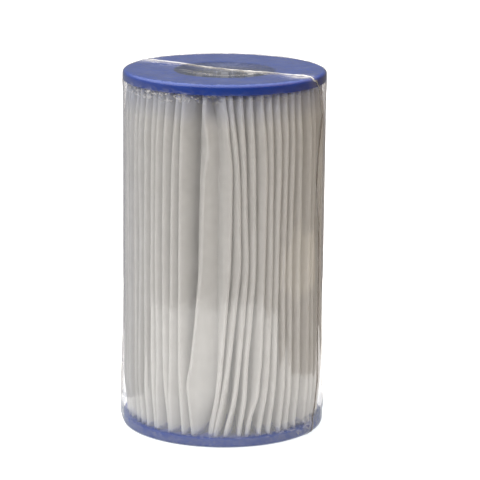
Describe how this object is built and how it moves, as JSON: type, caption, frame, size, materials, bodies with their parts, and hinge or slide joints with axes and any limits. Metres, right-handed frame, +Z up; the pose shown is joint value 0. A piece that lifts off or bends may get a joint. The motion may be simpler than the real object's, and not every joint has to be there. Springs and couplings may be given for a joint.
{
  "type": "filter cartridge",
  "caption": "Pleated cylindrical water filter cartridge with cast ring end caps, a slotted inner cage and a clear shrink wrap.",
  "frame": {"origin": "centre of the wrap's underside, on which the cartridge stands", "axes": "+Z up along the bore, -Y towards the front, +X to the right seen from the front"},
  "size_m": [0.143, 0.143, 0.2554],
  "materials": {
    "end_cap": "cast polyurethane, satin",
    "media": "spunbonded polyester, matt",
    "hot_melt": "hot-melt adhesive, waxy",
    "cage": "moulded polypropylene",
    "wrap": "clear shrink film, glossy",
    "wrap_weld": "melted film bead, glossy"
  },
  "bodies": {
    "cartridge": {"bottom_end_cap": "end_cap", "top_end_cap": "end_cap", "pleated_media": "media", "media_joint_bead": "hot_melt", "core_lower": "cage", "core_upper": "cage"},
    "wrap_front": {"wrap_front_wall": "wrap", "wrap_front_top": "wrap", "wrap_front_bottom": "wrap"},
    "wrap_back": {"wrap_back_wall": "wrap", "wrap_back_top": "wrap", "wrap_back_bottom": "wrap", "wrap_seal_bead": "wrap_weld"}
  },
  "joints": [
    {"name": "wrap_front_hinge", "type": "hinge", "parent": "cartridge", "child": "wrap_front", "pos_m": [-0.06097, 0.03792, 0], "axis": [0, 0, -1], "range_deg": [0, 80]},
    {"name": "wrap_back_hinge", "type": "hinge", "parent": "cartridge", "child": "wrap_back", "pos_m": [-0.06097, 0.03792, 0], "axis": [0, 0, 1], "range_deg": [0, 80]}
  ]
}
